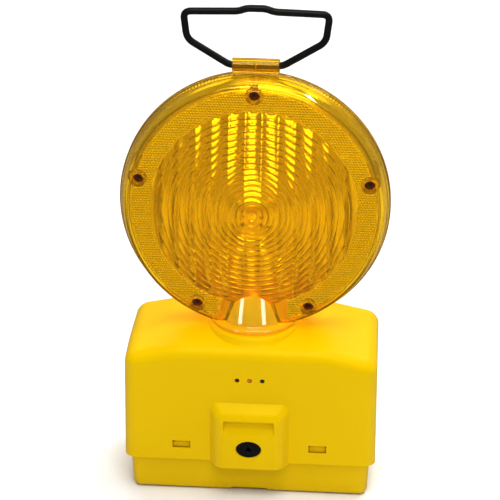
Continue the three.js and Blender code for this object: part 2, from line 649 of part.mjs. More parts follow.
function makeRearLens() {
  let shell = shellSolid(1);
  for (const [x, z] of screwSpots) {
    shell = shell.add(barY(5, x, z, 1.2, LENS.bandY - 0.4, 12));
  }
  const web = block(-BARREL.half, BARREL.half, 0.8, BARREL.r, LENS.z + 96, BARREL.z);
  shell = join(shell, web, barX(BARREL.r, 0, BARREL.z, -BARREL.half, BARREL.half));
  for (const [x, z] of screwSpots) {
    shell = cut(shell, barY(2.1, x, z, 0, 12, 8));
  }
  return cut(
    shell,
    coneClearance,
    belowHead,
    barX(BARREL.boreR, 0, BARREL.z, -BARREL.half - 1, BARREL.half + 1, 24),
  );
}
add('front_lens', makeFrontLens(), AMBER);
add('rear_lens', makeRearLens(), AMBER);

function ringAboutY(innerR, outerR, y0, y1) {
  const geometry = toGeometry(pipe(innerR, outerR, y0, y1));
  return toSolid(geometry.rotateX(Math.PI / 2).translate(0, 0, LENS.z));
}
add('lens_gasket', cut(ringAboutY(LENS.r - 2.2, LENS.r - 1, -0.5, 0.5), coneClearance, belowHead), RUBBER);

const footRoom = turned([[0, 90], [FOOT.flangeR + 1, 90], [FOOT.flangeR + 1, 168], [0, 168]], 24);
for (const [name, side] of [['front', 1], ['rear', -1]]) {
  const near = LENS.bandY - LENS.wall - GAP;
  const y0 = side * (near - RING.thickness);
  const y1 = side * near;
  let ring = ringAboutY(RING.innerR, RING.outerR, Math.min(y0, y1), Math.max(y0, y1));
  for (const [x, z] of screwSpots) {
    ring = cut(ring, barY(6.9, x, z, -30, 30, 12));
  }
  const pieces = cut(ring, footRoom, belowHead).decompose();
  const largest = pieces.reduce((a, b) => (a.volume() > b.volume() ? a : b));
  add(`reflector_${name}`, largest, REFLECTOR);
}

screwSpots.forEach(([x, z], i) => {
  const headFloor = -LENS.bandY + SCREW.headDepth - GAP;
  const head = barY(SCREW.headR, x, z, headFloor - 2.6, headFloor, 12);
  const slot = new THREE.CylinderGeometry(1.9, 1.9, 2.4, 6).translate(x, headFloor - 2.2, z);
  const shank = barY(SCREW.shankR, x, z, headFloor - 1, 10.5, 8);
  add(`lens_screw_${i + 1}`, cut(join(head, shank), toSolid(slot)), STEEL);
});

// ---- Light source ----
add('led_post', cut(
  join(
    barZ(POST.baseR, 0, 0, POST.bottomZ, FOOT.topZ - footWall - GAP, 32),
    block(-POST.width / 2, POST.width / 2, -POST.depth / 2, POST.depth / 2, POST.bottomZ, POST.topZ),
  ),
  block(
    -POST.width / 2 + POST.wall,
    POST.width / 2 - POST.wall,
    -POST.depth / 2 + POST.wall,
    POST.depth / 2 - POST.wall,
    POST.bottomZ - 1,
    POST.topZ + 1,
  ),
  block(-5, 5, -20, 20, 203, 209),
), YELLOW);

for (const [name, side] of [['front', -1], ['rear', 1]]) {
  const y0 = side * (POST.depth / 2 + GAP);
  const y1 = y0 + side * 1.2;
  const lo = Math.min(y0, y1);
  const hi = Math.max(y0, y1);
  add(`led_board_${name}`, block(-14, 14, lo, hi, LAMP_Z - 14, LAMP_Z + 11), BLACK);
  const emitter = turned([[0, 0], [6, 0], [6, 1.6], [4.6, 1.6], [4.2, 3.4], [2.6, 5.2], [0, 5.8]], 20);
  const mesh = add(`led_${name}`, emitter, LED_AMBER);
  mesh.rotation.x = (-side * Math.PI) / 2;
  mesh.position.set(0, y1 + side * GAP, LAMP_Z);
}

const plugZ = carrierTop + 1.8 + GAP;
add('led_connector', barZ(5, 0, 0, plugZ, plugZ + 8, 20), BLACK);
const leadPath = new THREE.CatmullRomCurve3([
  new THREE.Vector3(0, 0, plugZ + 8 + GAP),
  new THREE.Vector3(0, 0, plugZ + 15),
  new THREE.Vector3(2.5, 0, 160),
  new THREE.Vector3(-2.5, 0, 185),
  new THREE.Vector3(0, 0, 197),
  new THREE.Vector3(0, -1.2, 206),
]);
add('led_lead', tubeAlong(leadPath, 1.7, 16, 6), BLACK);

// ---- Carrying handle: one wire bent to a loop, its two ends meeting inside the barrel ----
function handlePath() {
  const half = [
    [2, 0, 0],
    [20, 0, 4],
    [HANDLE.elbowX, HANDLE.elbowZ, 7],
    [HANDLE.cornerX, HANDLE.cornerZ, 6],
    [HANDLE.kinkHalf, HANDLE.barZ, 4],
    [HANDLE.kinkHalf / 2, HANDLE.kinkZ, 4],
  ];
  const corners = [...half, ...half.slice().reverse().map(([x, z, r]) => [-x, z, r])];
  const points = corners.map(([x, z]) => new THREE.Vector3(x, 0, z));
  const path = new THREE.CurvePath();
  let from = points[0];
  for (let i = 1; i < points.length - 1; i += 1) {
    const before = points[i].clone().sub(points[i - 1]).normalize();
    const after = points[i + 1].clone().sub(points[i]).normalize();
    const enter = points[i].clone().addScaledVector(before, -corners[i][2] * 0.7);
    const leave = points[i].clone().addScaledVector(after, corners[i][2] * 0.7);
    path.add(new THREE.LineCurve3(from, enter));
    path.add(new THREE.QuadraticBezierCurve3(enter, points[i], leave));
    from = leave;
  }
  path.add(new THREE.LineCurve3(from, points[points.length - 1]));
  return path;
}
const handle = add('handle', tubeAlong(handlePath(), HANDLE.wireR, 46, 8), BLACK);
handle.position.z = BARREL.z;

export default part;
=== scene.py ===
import bpy
import bmesh
import math
from mathutils import Matrix, Quaternion, Vector


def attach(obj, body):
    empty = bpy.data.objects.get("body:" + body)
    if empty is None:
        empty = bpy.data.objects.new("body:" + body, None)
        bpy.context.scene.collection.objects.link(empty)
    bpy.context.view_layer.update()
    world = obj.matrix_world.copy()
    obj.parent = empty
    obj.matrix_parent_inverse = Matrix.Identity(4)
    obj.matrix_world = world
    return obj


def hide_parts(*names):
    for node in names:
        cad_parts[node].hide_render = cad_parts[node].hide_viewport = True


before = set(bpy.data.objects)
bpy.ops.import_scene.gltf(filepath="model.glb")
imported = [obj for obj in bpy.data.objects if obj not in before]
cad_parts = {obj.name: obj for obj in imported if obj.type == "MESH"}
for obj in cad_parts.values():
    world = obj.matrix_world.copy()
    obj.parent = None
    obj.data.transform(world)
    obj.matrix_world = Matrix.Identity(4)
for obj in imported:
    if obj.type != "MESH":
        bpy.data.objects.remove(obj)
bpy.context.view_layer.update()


# -------------------------------------------------------------------------------------------------
# Studio. The light stands on a wide pale sheet under soft boxes in front, above and behind. Two
# low strips shine on the swivel foot alone and the prism light on the lens shells alone, which
# the sections of those pieces link. The sheet and three of the boxes don't show in reflections.
# -------------------------------------------------------------------------------------------------
LOOK_AT = Vector((0, 0.0045, 0.180))
CAMERA_TURN = math.radians(3.92)
CAMERA_RISE = math.radians(23.88)
CAMERA_ROLL = math.radians(0.43)
CAMERA_REACH = 1.3848

towards_camera = Vector((
    math.sin(CAMERA_TURN) * math.cos(CAMERA_RISE),
    -math.cos(CAMERA_TURN) * math.cos(CAMERA_RISE),
    math.sin(CAMERA_RISE),
))
camera = bpy.data.objects.new("camera", bpy.data.cameras.new("camera"))
camera.data.lens = 133.4
camera.data.sensor_width = 36
camera.data.shift_x = -0.0092
camera.data.shift_y = 0.012
camera.data.clip_start = 0.05
camera.location = LOOK_AT + towards_camera * CAMERA_REACH
aim = towards_camera.to_track_quat("Z", "Y") @ Quaternion((0, 0, 1), CAMERA_ROLL)
camera.rotation_euler = aim.to_euler()
bpy.context.collection.objects.link(camera)
bpy.context.scene.camera = camera
bpy.context.scene.view_settings.view_transform = "Standard"


def softbox(name, place, size, watts, target=LOOK_AT, mirrored=True):
    lamp = bpy.data.lights.new(name, "AREA")
    lamp.shape = "RECTANGLE"
    lamp.size, lamp.size_y = size
    lamp.energy = watts
    box = bpy.data.objects.new(name, lamp)
    box.location = place
    box.rotation_euler = (Vector(place) - target).to_track_quat("Z", "Y").to_euler()
    box.visible_glossy = mirrored
    bpy.context.collection.objects.link(box)
    return box


FOOT_MIDDLE = Vector((0, 0.0045, 0.150))
softbox("front_light", (0.16, -1.30, 1.35), (1.00, 0.36), 8, mirrored=False)
prism_light = softbox("prism_light", (0.16, -1.32, 1.36), (1.70, 0.62), 18)
softbox("brow_light", (0.05, -0.75, 1.75), (0.90, 0.50), 12)
softbox("streak_light", (0.756, 0.625, 1.45), (0.26, 0.10), 4)
strips = [
    softbox("strip_left", (-1.05, -1.20, 0.24), (0.36, 0.32), 4, FOOT_MIDDLE),
    softbox("strip_right", (0.93, -1.30, 0.24), (0.36, 0.32), 4, FOOT_MIDDLE),
]
softbox("top_light", (0.25, 0.20, 2.0), (1.6, 1.2), 24, mirrored=False)
softbox("back_light", (0.0, 1.9, 1.9), (3.2, 1.6), 45, Vector((0, 1.9, 0)), mirrored=False)

surround = bpy.data.worlds.new("surround")
surround.use_nodes = True
white = surround.node_tree.nodes["Background"]
white.inputs["Color"].default_value = (1, 1, 1, 1)
white.inputs["Strength"].default_value = 0.18
bpy.context.scene.world = surround

sheet_mesh = bmesh.new()
bmesh.ops.create_grid(sheet_mesh, x_segments=2, y_segments=2, size=8)
sheet_data = bpy.data.meshes.new("paper_floor")
sheet_mesh.to_mesh(sheet_data)
paper_floor = bpy.data.objects.new("paper_floor", sheet_data)
bpy.context.collection.objects.link(paper_floor)
paper_floor.visible_glossy = False


# -------------------------------------------------------------------------------------------------
# Finishes are built as they are first needed. Reading wraps one shader socket so that sums are
# written as sums; Finish is one material, with a single method for every node that isn't a sum.
# -------------------------------------------------------------------------------------------------
class Reading:
    def __init__(self, finish, socket):
        self.finish = finish
        self.socket = socket

    def sum_with(self, operation, *others):
        inputs = dict(enumerate((self, *others)))
        return self.finish.node("ShaderNodeMath", {"operation": operation}, inputs)

    def __add__(self, other):
        return self.sum_with("ADD", other)

    __radd__ = __add__

    def __mul__(self, other):
        return self.sum_with("MULTIPLY", other)

    __rmul__ = __mul__

    def __sub__(self, other):
        return self.sum_with("SUBTRACT", other)

    def __rsub__(self, other):
        return (self * -1) + other

    def __gt__(self, other):
        return self.sum_with("GREATER_THAN", other)

    def __lt__(self, other):
        return self.sum_with("LESS_THAN", other)

    def least(self, other):
        return self.sum_with("MINIMUM", other)

    def most(self, other):
        return self.sum_with("MAXIMUM", other)

    def size(self):
        return self.sum_with("ABSOLUTE")

    def wave(self):
        return self.sum_with("SINE")


class Finish:
    def __init__(self, name, colour, roughness, metallic=0.0, **constants):
        self.material = bpy.data.materials.new(name)
        self.material.use_nodes = True
        self.tree = self.material.node_tree
        self.shader = self.tree.nodes["Principled BSDF"]
        self.end = self.tree.nodes["Material Output"]
        self.set("Base Color", (*colour, 1))
        self.set("Roughness", roughness)
        self.set("Metallic", metallic)
        for socket, value in constants.items():
            self.set(socket.replace("_", " "), value)

    def set(self, socket, value):
        self.feed(self.shader.inputs[socket], value)

    def feed(self, socket, value):
        if isinstance(value, Reading):
            self.tree.links.new(value.socket, socket)
        else:
            socket.default_value = value

    def node(self, kind, settings=None, inputs=None, output=0):
        made = self.tree.nodes.new(kind)
        for key, value in (settings or {}).items():
            setattr(made, key, value)
        for key, value in (inputs or {}).items():
            self.feed(made.inputs[key], value)
        return Reading(self, made.outputs[output])

    def place(self):
        return self.node("ShaderNodeTexCoord", output="Object")

    def split(self, vector):
        parts = range(3)
        return [self.node("ShaderNodeSeparateXYZ", inputs={0: vector}, output=i) for i in parts]

    def noise(self, scale, detail=3, roughness=0.5, vector=None, stretch=None):
        vector = vector or self.place()
        if stretch:
            inputs = {0: vector, 1: stretch}
            vector = self.node("ShaderNodeVectorMath", {"operation": "MULTIPLY"}, inputs)
        return self.node(
            "ShaderNodeTexNoise",
            inputs={"Vector": vector, "Scale": scale, "Detail": detail, "Roughness": roughness},
        )

    def mix(self, share, low, high):
        low, high = (end if isinstance(end, Reading) else (*end, 1) for end in (low, high))
        return self.node(
            "ShaderNodeMix", {"data_type": "RGBA"}, {0: share, 6: low, 7: high}, output=2
        )

    def bump(self, height, distance, strength=1.0):
        normal = self.node(
            "ShaderNodeBump",
            inputs={"Strength": strength, "Distance": distance, "Height": height},
        )
        self.set("Normal", normal)

    def pass_lamps(self, tint):
        """Lets the lamps shine through clear plastic, tinted once at each of its faces."""
        clear = self.node("ShaderNodeBsdfTransparent", inputs={0: (*tint, 1)})
        shadow = self.node("ShaderNodeLightPath", output="Is Shadow Ray")
        solid = Reading(self, self.shader.outputs[0])
        mixed = self.node("ShaderNodeMixShader", inputs={0: shadow, 1: solid, 2: clear})
        self.feed(self.end.inputs["Surface"], mixed)


paper = Finish("paper", (0.93, 0.93, 0.925), 0.9)
paper.set("Base Color", paper.mix(paper.noise(3.0), (0.90, 0.90, 0.895), (0.94, 0.94, 0.935)))
sheet_data.materials.append(paper.material)

MM = 0.001
CASE_BACK = 4.5  # the case and head stand this far behind the middle, for the lock boss
LIP_FROM = math.radians(38)


def piece(name, shape, finishes, body, replaced=(), sharp=35.0, lip=None):
    """Turns a shape in millimetres into the named piece, closed and smooth, riding on its body."""
    if isinstance(shape, bpy.types.Object):
        made = shape
        made.name = name
    else:
        bmesh.ops.scale(shape, vec=(MM, MM, MM), verts=shape.verts)
        bmesh.ops.translate(shape, vec=(0, CASE_BACK * MM, 0), verts=shape.verts)
        data = bpy.data.meshes.new(name)
        shape.to_mesh(data)
        shape.free()
        made = bpy.data.objects.new(name, data)
        bpy.context.collection.objects.link(made)
    if not made.data.materials:
        for finish in finishes:
            made.data.materials.append(finish.material)
    made.data.shade_smooth()
    made.data.set_sharp_from_angle(angle=math.radians(sharp))
    if lip:
        rounding = made.modifiers.new("lip", "BEVEL")
        rounding.width = lip * MM
        rounding.segments = 2
        rounding.limit_method = "ANGLE"
        rounding.angle_limit = LIP_FROM
        rounding.harden_normals = True
    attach(made, body)
    if replaced:
        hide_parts(*replaced)
    return made


# -------------------------------------------------------------------------------------------------
# Upper case. A deep hood blow-moulded in yellow polyethylene: soft corners, a roof that falls to
# both ends and to the front, a low turret for the head, and a boss for the lock whose faces slope
# back into the front wall.
# -------------------------------------------------------------------------------------------------
WALL = 2.6
CASE_HALF_X, CASE_HALF_Y, CASE_TOP = 95.25, 44.5, 128
HOOD_BOTTOM = 29
CORNER_R, BROW_R = 9, 10
END_DRAFT, FRONT_DRAFT = 0.009, 0.013
ROOF_FROM, END_FALL, FRONT_FALL = 88, 0.207, 0.2
BOSS_FRONT, BOSS_SLOPE = -53.5, 9  # its face, and how deep its sloping sides run
BOSS_FACE_X, BOSS_FACE_TOP = 23.5, 71
BOSS_BASE_X, BOSS_BASE_TOP = 29.5, 78.5
BOSS_R = 4.6


def brick(x0, x1, y0, y1, z0, z1):
    shape = bmesh.new()
    bmesh.ops.create_cube(shape, size=1)
    bmesh.ops.scale(shape, vec=(x1 - x0, y1 - y0, z1 - z0), verts=shape.verts)
    middle = ((x0 + x1) / 2, (y0 + y1) / 2, (z0 + z1) / 2)
    bmesh.ops.translate(shape, vec=middle, verts=shape.verts)
    return shape


def round_off(shape, edges, radius, segments):
    bmesh.ops.bevel(
        shape, geom=edges, offset=radius, segments=segments, affect="EDGES", profile=0.5,
        material=-1, clamp_overlap=True,
    )


def upright(edge):
    a, b = edge.verts
    return abs(a.co.x - b.co.x) + abs(a.co.y - b.co.y) < 0.01


def runs_back(edge):
    a, b = edge.verts
    return abs(a.co.y - b.co.y) > 1


def level_at(shape, z):
    return [e for e in shape.edges if all(abs(v.co.z - z) < 0.01 for v in e.verts)]


def slice_across(shape, axis, stations):
    for station in stations:
        spot = Vector((0, 0, 0))
        spot[axis] = station
        facing = Vector((0, 0, 0))
        facing[axis] = 1
        everything = shape.verts[:] + shape.edges[:] + shape.faces[:]
        bmesh.ops.bisect_plane(shape, geom=everything, plane_co=spot, plane_no=facing, dist=0.001)


def eased(reach, softness):
    return (reach + math.sqrt(reach * reach + softness * softness)) / 2


def hood_block(inset, bottom):
    half_x, half_y, top = CASE_HALF_X - inset, CASE_HALF_Y - inset, CASE_TOP - inset
    shape = brick(-half_x, half_x, -half_y, half_y, bottom, top)
    round_off(shape, [e for e in shape.edges if upright(e)], CORNER_R - inset, 7)
    round_off(shape, level_at(shape, top), BROW_R - inset, 8)
    slice_across(shape, 0, range(-90, 91, 5))
    slice_across(shape, 1, range(-36, 37, 4))
    slice_across(shape, 2, (60, 90, 100, 110))
    for v in shape.verts:
        up = (v.co.z - HOOD_BOTTOM) / (CASE_TOP - HOOD_BOTTOM)
        v.co.x *= 1 - END_DRAFT * up
        v.co.y *= 1 - FRONT_DRAFT * up
        share = min(1, max(0, (v.co.z - ROOF_FROM) / (CASE_TOP - ROOF_FROM)))
        share = share * share * (3 - 2 * share)
        to_ends = END_FALL * eased(abs(v.co.x) - 54, 3)
        to_front = FRONT_FALL * eased(-12 - v.co.y, 10)
        v.co.z -= share * (to_ends + to_front)
    return shape


def boss_block(inset, bottom, back):
    base_x, face_x = BOSS_BASE_X - inset, BOSS_FACE_X - inset
    base_top, face_top = BOSS_BASE_TOP - inset, BOSS_FACE_TOP - inset
    front = BOSS_FRONT + inset
    shape = brick(-1, 1, front, back, bottom, face_top)
    for v in shape.verts:
        run = (v.co.y - front) / BOSS_SLOPE
        v.co.x *= face_x + run * (base_x - face_x)
        if v.co.z > bottom + 1:
            v.co.z += run * (base_top - face_top)
    facing = [e for e in shape.edges if any(f.normal.y < -0.9 for f in e.link_faces)]
    running = [
        e for e in shape.edges
        if e not in facing and runs_back(e) and max(v.co.z for v in e.verts) > 50
    ]
    rounded = [e for e in facing if max(v.co.z for v in e.verts) > bottom + 1] + running
    round_off(shape, rounded, BOSS_R - 0.9 * inset, 7)
    return shape


def tool(shape):
    bmesh.ops.scale(shape, vec=(MM, MM, MM), verts=shape.verts)
    bmesh.ops.translate(shape, vec=(0, CASE_BACK * MM, 0), verts=shape.verts)
    bmesh.ops.recalc_face_normals(shape, faces=shape.faces)
    data = bpy.data.meshes.new("tool")
    shape.to_mesh(data)
    shape.free()
    made = bpy.data.objects.new("tool", data)
    bpy.context.collection.objects.link(made)
    return made


def worked(stock, *steps):
    """Joins ("UNION") or cuts ("DIFFERENCE") each tool in turn, and uses it up."""
    for operation, shape in steps:
        cutter = shape if isinstance(shape, bpy.types.Object) else tool(shape)
        change = stock.modifiers.new("work", "BOOLEAN")
        change.operation = operation
        change.solver = "EXACT"
        change.object = cutter
        bpy.context.view_layer.update()
        settled = stock.evaluated_get(bpy.context.evaluated_depsgraph_get())
        result = bpy.data.meshes.new_from_object(settled)
        stock.modifiers.clear()
        stock.data = result
        bpy.data.objects.remove(cutter)
    return stock


def turned(profile, steps=96, closed=True):
    """Turns a section of (radius, height) points a full circle about Z."""
    shape = bmesh.new()
    verts = [shape.verts.new((r, 0, h)) for r, h in profile]
    pairs = list(zip(verts, verts[1:] + verts[:1])) if closed else list(zip(verts, verts[1:]))
    for a, b in pairs:
        shape.edges.new((a, b))
    bmesh.ops.spin(
        shape, geom=shape.verts[:] + shape.edges[:], cent=(0, 0, 0), axis=(0, 0, 1),
        angle=math.tau, steps=steps, use_merge=True,
    )
    bmesh.ops.remove_doubles(shape, verts=shape.verts, dist=0.0005)
    bmesh.ops.dissolve_degenerate(shape, edges=shape.edges, dist=0.0001)
    bmesh.ops.recalc_face_normals(shape, faces=shape.faces)
    return shape


def moved(shape, turn=None, by=(0, 0, 0)):
    if turn:
        bmesh.ops.rotate(shape, cent=(0, 0, 0), matrix=turn, verts=shape.verts)
    bmesh.ops.translate(shape, vec=by, verts=shape.verts)
    return shape


TO_FRONT = Matrix.Rotation(math.radians(90), 3, "X")  # what was up now faces the front
TO_REAR = Matrix.Rotation(math.radians(-90), 3, "X")
TO_SIDE = Matrix.Rotation(math.radians(90), 3, "Y")


def disc(r, z0, z1, steps=64):
    return turned([(0, z0), (r, z0), (r, z1), (0, z1)], steps, closed=False)


def disc_forward(r, x, z, y0, y1, steps=32):
    """A round bar along the depth, from y0 back to y1."""
    return moved(disc(r, -y1, -y0, steps), TO_FRONT, (x, 0, z))


LOCK_Z, LOCK_HALF_X, LOCK_HALF_Z = 44, 9.4, 6.8
MOUTH_FLARE, MOUTH_DEPTH = 1.3, 1.1
WINDOW_X, WINDOW_HALF, WINDOW_LOW, WINDOW_HIGH = 51.5, 6.75, 38.6, 44.8
EYE_Z, EYE_PITCH, EYE_R = 97.7, 9.4, 1.8


def oval_plug(half_x, half_z, y0, y1, steps=48):
    plug = disc_forward(1, 0, 0, y0, y1, steps)
    bmesh.ops.scale(plug, vec=(half_x, 1, half_z), verts=plug.verts)
    return moved(plug, by=(0, 0, LOCK_Z))


GROOVE_HALF_X, GROOVE_BACK = 19, -49.6
GROOVE_LIP, GROOVE_LOW, GROOVE_HIGH = 55.2, 62.4, 67.8


def finger_groove():
    """A pocket whose floor slopes out to the lip and whose back stands upright."""
    groove = brick(-GROOVE_HALF_X, GROOVE_HALF_X, -54.5, GROOVE_BACK, GROOVE_LOW, GROOVE_HIGH)
    for v in groove.verts:
        if v.co.z < GROOVE_LOW + 0.6 and v.co.y < -54:
            v.co.z = GROOVE_LIP
    round_off(groove, [e for e in groove.edges if runs_back(e)], 0.8, 3)
    return groove


def flared_mouth():
    """The soft countersink round the lock's oval hole."""
    wide_x, wide_z = LOCK_HALF_X + MOUTH_FLARE, LOCK_HALF_Z + MOUTH_FLARE
    mouth = oval_plug(wide_x, wide_z, -55, BOSS_FRONT + MOUTH_DEPTH)
    for v in mouth.verts:
        if v.co.y > -53:
            v.co.x *= LOCK_HALF_X / wide_x
            v.co.z = LOCK_Z + (v.co.z - LOCK_Z) * LOCK_HALF_Z / wide_z
    return mouth


TURRET_SECTION = [(0, 119.8), (41, 119.8), (39, 121.6), (37, 124.2), (35.6, 126.4),
                  (34.6, 127.7), (33.8, 128.3), (33.0, 128.5), (0, 128.5)]
TURRET_BORE_R, ROOF_HOLE_R = 31.4, 24.5
BOARD_POST_X, CARRIER_POST_X = 26, 36
hood_steps = [
    ("UNION", boss_block(0, HOOD_BOTTOM - 1.2, -41)),
    ("UNION", turned(TURRET_SECTION, 96, closed=False)),
    ("DIFFERENCE", hood_block(WALL, 20)),
    ("DIFFERENCE", boss_block(WALL, 20, -41.5)),
    ("DIFFERENCE", disc(TURRET_BORE_R, 105, 125.4, 96)),
    ("DIFFERENCE", disc(ROOF_HOLE_R, 105, 140, 96)),
    ("UNION", brick(-21.5, 21.5, -51.2, -47.2, 54.5, 69.8)),
    ("DIFFERENCE", finger_groove()),
    ("DIFFERENCE", flared_mouth()),
    ("DIFFERENCE", oval_plug(LOCK_HALF_X, LOCK_HALF_Z, -56, -50)),
]
for window_x in (-WINDOW_X, WINDOW_X):
    x0, x1 = window_x - WINDOW_HALF, window_x + WINDOW_HALF
    hood_steps.append(("DIFFERENCE", brick(x0, x1, -46, -41, WINDOW_LOW, WINDOW_HIGH)))
    hood_steps.append(("DIFFERENCE", brick(x0, x1, -43.4, -38, 20, WINDOW_LOW + 1)))
for eye in (-1, 0, 1):
    hood_steps.append(("DIFFERENCE", disc_forward(EYE_R, eye * EYE_PITCH, EYE_Z, -46, -40, 24)))
for post_x in (-BOARD_POST_X, BOARD_POST_X):
    hood_steps.append(("UNION", disc_forward(3, post_x, 107.5, -42.4, -36.7, 20)))
for post_x in (-CARRIER_POST_X, CARRIER_POST_X):
    hood_steps.append(("UNION", moved(disc(3.4, 117.2, 126.4, 20), by=(post_x, 0, 0))))

yellow = Finish("case_yellow", (0.82, 0.54, 0.0), 0.42, Specular_IOR_Level=0.4,
                Specular_Tint=(1.0, 0.82, 0.08, 1))
cloudy = yellow.noise(11, 3, 0.55)
speckle = yellow.noise(900, 2, 0.6)
scuffs = yellow.noise(70, 5, 0.7)
grain = yellow.noise(1400, 2, 0.5)
tone = yellow.mix(cloudy, (0.78, 0.485, 0.0), (0.84, 0.55, 0.0))
yellow.set("Base Color", yellow.mix((speckle > 0.73) * 0.12, tone, (0.66, 0.39, 0.0)))
yellow.set("Roughness", 0.40 + (scuffs - 0.5) * 0.14 + (cloudy - 0.5) * 0.08)
yellow.bump(grain * 0.4 + speckle * 0.2 + cloudy * 0.8, 0.00004)

hood = worked(tool(hood_block(0, HOOD_BOTTOM)), *hood_steps)
piece("hood_shell", hood, [yellow], "case_hood", ["hood"], lip=0.45)


# -------------------------------------------------------------------------------------------------
# Lower case. A tray in the same yellow with a rounded sole, a shallow groove across it for the
# bracket, ribs that locate the batteries, a six-sided nut pocket, two snap lugs and the keeper of
# the lock.
# -------------------------------------------------------------------------------------------------
TRAY_HALF_X, TRAY_HALF_Y, TRAY_BOTTOM, TRAY_TOP = 91.5, 41.5, 1, 42
TRAY_CORNER_R, SOLE_R = 7, 3.2
FLOOR_TOP = 5
RIBS_X, RIB_HALF, RIB_TOP = (14.3, 83.7), 0.9, 24
POCKET_R, BOLT_R = 11.3, 6.3


def tray_block(inset, bottom, sole_radius):
    half_x, half_y = TRAY_HALF_X - inset, TRAY_HALF_Y - inset
    shape = brick(-half_x, half_x, -half_y, half_y, bottom, TRAY_TOP + (1 if inset else 0))
    round_off(shape, [e for e in shape.edges if upright(e)], TRAY_CORNER_R - 0.8 * inset, 7)
    round_off(shape, level_at(shape, bottom), sole_radius, 5)
    for v in shape.verts:
        down = (TRAY_TOP - v.co.z) / 40
        v.co.x *= 1 - 0.021 * down
        v.co.y *= 1 - 0.046 * down
    return shape


def groove_tool():
    groove = brick(-13, 13, -60, 60, 0, 3.6)
    for v in groove.verts:
        if v.co.z < 1:
            v.co.x *= 1.28
    return groove


def snap_lug(x):
    lug = brick(x - 6, x + 6, -42.4, -39.5, 38.4, 44.4)
    for v in lug.verts:
        if v.co.y < -41 and v.co.z > 43:
            v.co.y = -41.6
            v.co.z = 43.6
    round_off(lug, lug.edges[:], 0.3, 2)
    return lug


def six_sided(r, z0, z1):
    return turned([(0, z0), (r, z0), (r, z1), (0, z1)], 6, closed=False)


tray_steps = [("DIFFERENCE", tray_block(WALL, FLOOR_TOP, 3))]
for side in (-1, 1):
    for rib_x in (RIBS_X[0] * side, RIBS_X[1] * side):
        rib = brick(rib_x - RIB_HALF, rib_x + RIB_HALF, -37.5, 37.5, FLOOR_TOP - 1, RIB_TOP)
        tray_steps.append(("UNION", rib))
    tray_steps.append(("UNION", snap_lug(WINDOW_X * side)))
tray_steps += [
    ("UNION", brick(-16, 16, -40.7, -38.9, 36, 56)),
    ("UNION", brick(6.2, 12.5, -47, -40.5, 47.4, 50.6)),
    ("UNION", six_sided(POCKET_R + 2, FLOOR_TOP - 1, 15)),
    ("UNION", brick(-13, 13, -37.5, 37.5, FLOOR_TOP - 1, FLOOR_TOP + 1)),
    ("DIFFERENCE", six_sided(POCKET_R, 6, 30)),
    ("DIFFERENCE", groove_tool()),
    ("DIFFERENCE", disc(BOLT_R, 0, 30, 40)),
]
tray = worked(tool(tray_block(0, TRAY_BOTTOM, SOLE_R)), *tray_steps)
piece("tray_shell", tray, [yellow], "tray", ["base_tray"], lip=0.35)


# -------------------------------------------------------------------------------------------------
# Feet and case seal. Four rubber buttons pressed into the sole, each with a ring moulded in its
# face, and the black seal that lies between tray and hood.
# -------------------------------------------------------------------------------------------------
rubber = Finish("black_rubber", (0.022, 0.021, 0.020), 0.62, Specular_IOR_Level=0.35)
dust = rubber.noise(60, 4, 0.6)
rubber.set("Base Color", rubber.mix(dust, (0.014, 0.014, 0.014), (0.045, 0.043, 0.040)))
rubber.set("Roughness", 0.55 + (dust - 0.5) * 0.3)
rubber.bump(rubber.noise(900, 3, 0.6), 0.00008)

FOOT_SECTION = [(0, 0.3), (2.2, 0.3), (2.6, 0.05), (3.0, 0), (4.1, 0), (4.7, 0.15), (5, 0.4),
                (5, 0.75), (4.8, 0.85), (0, 0.85)]
for corner, x, y in (("fl", -76, -30), ("fr", 76, -30), ("rl", -76, 30), ("rr", 76, 30)):
    foot = moved(turned(FOOT_SECTION, 40, closed=False), by=(x, y, 0))
    piece(f"foot_button_{corner}", foot, [rubber], "tray", [f"foot_{corner}"])


def refinish(finish, *nodes):
    """Gives nodes whose solid shape is right their real finish."""
    for node in nodes:
        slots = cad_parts[node].material_slots
        for slot in slots:
            slot.material = finish.material


refinish(rubber, "case_seal")


# -------------------------------------------------------------------------------------------------
# Fixings. Zinc-plated steel: the captive nut, the small board and carrier screws, the cam and clip
# of the lock, and the spring ring that keeps the swivel foot in the roof. The five long lens
# screws are browned steel.
# -------------------------------------------------------------------------------------------------
zinc = Finish("zinc_steel", (0.55, 0.55, 0.56), 0.3, 1.0)
plating = zinc.noise(240, 4, 0.6)
zinc.set("Base Color", zinc.mix(plating, (0.42, 0.42, 0.43), (0.64, 0.64, 0.63)))
zinc.set("Roughness", 0.25 + plating * 0.25)
zinc.bump(zinc.noise(2200, 2, 0.5), 0.00002)
refinish(
    zinc, "mounting_nut", "lock_cam", "lock_clip", "retainer_ring", "board_screw_left",
    "board_screw_right", "carrier_screw_left", "carrier_screw_right",
)

browned = Finish("browned_steel", (0.10, 0.035, 0.02), 0.4, 0.7)
stain = browned.noise(900, 3)
browned.set("Base Color", browned.mix(stain, (0.05, 0.016, 0.01), (0.17, 0.06, 0.03)))
browned.set("Roughness", 0.35 + browned.noise(600, 3) * 0.2)
browned.bump(browned.noise(2500, 2), 0.00003)
refinish(browned, *[f"lens_screw_{i}" for i in range(1, 6)])


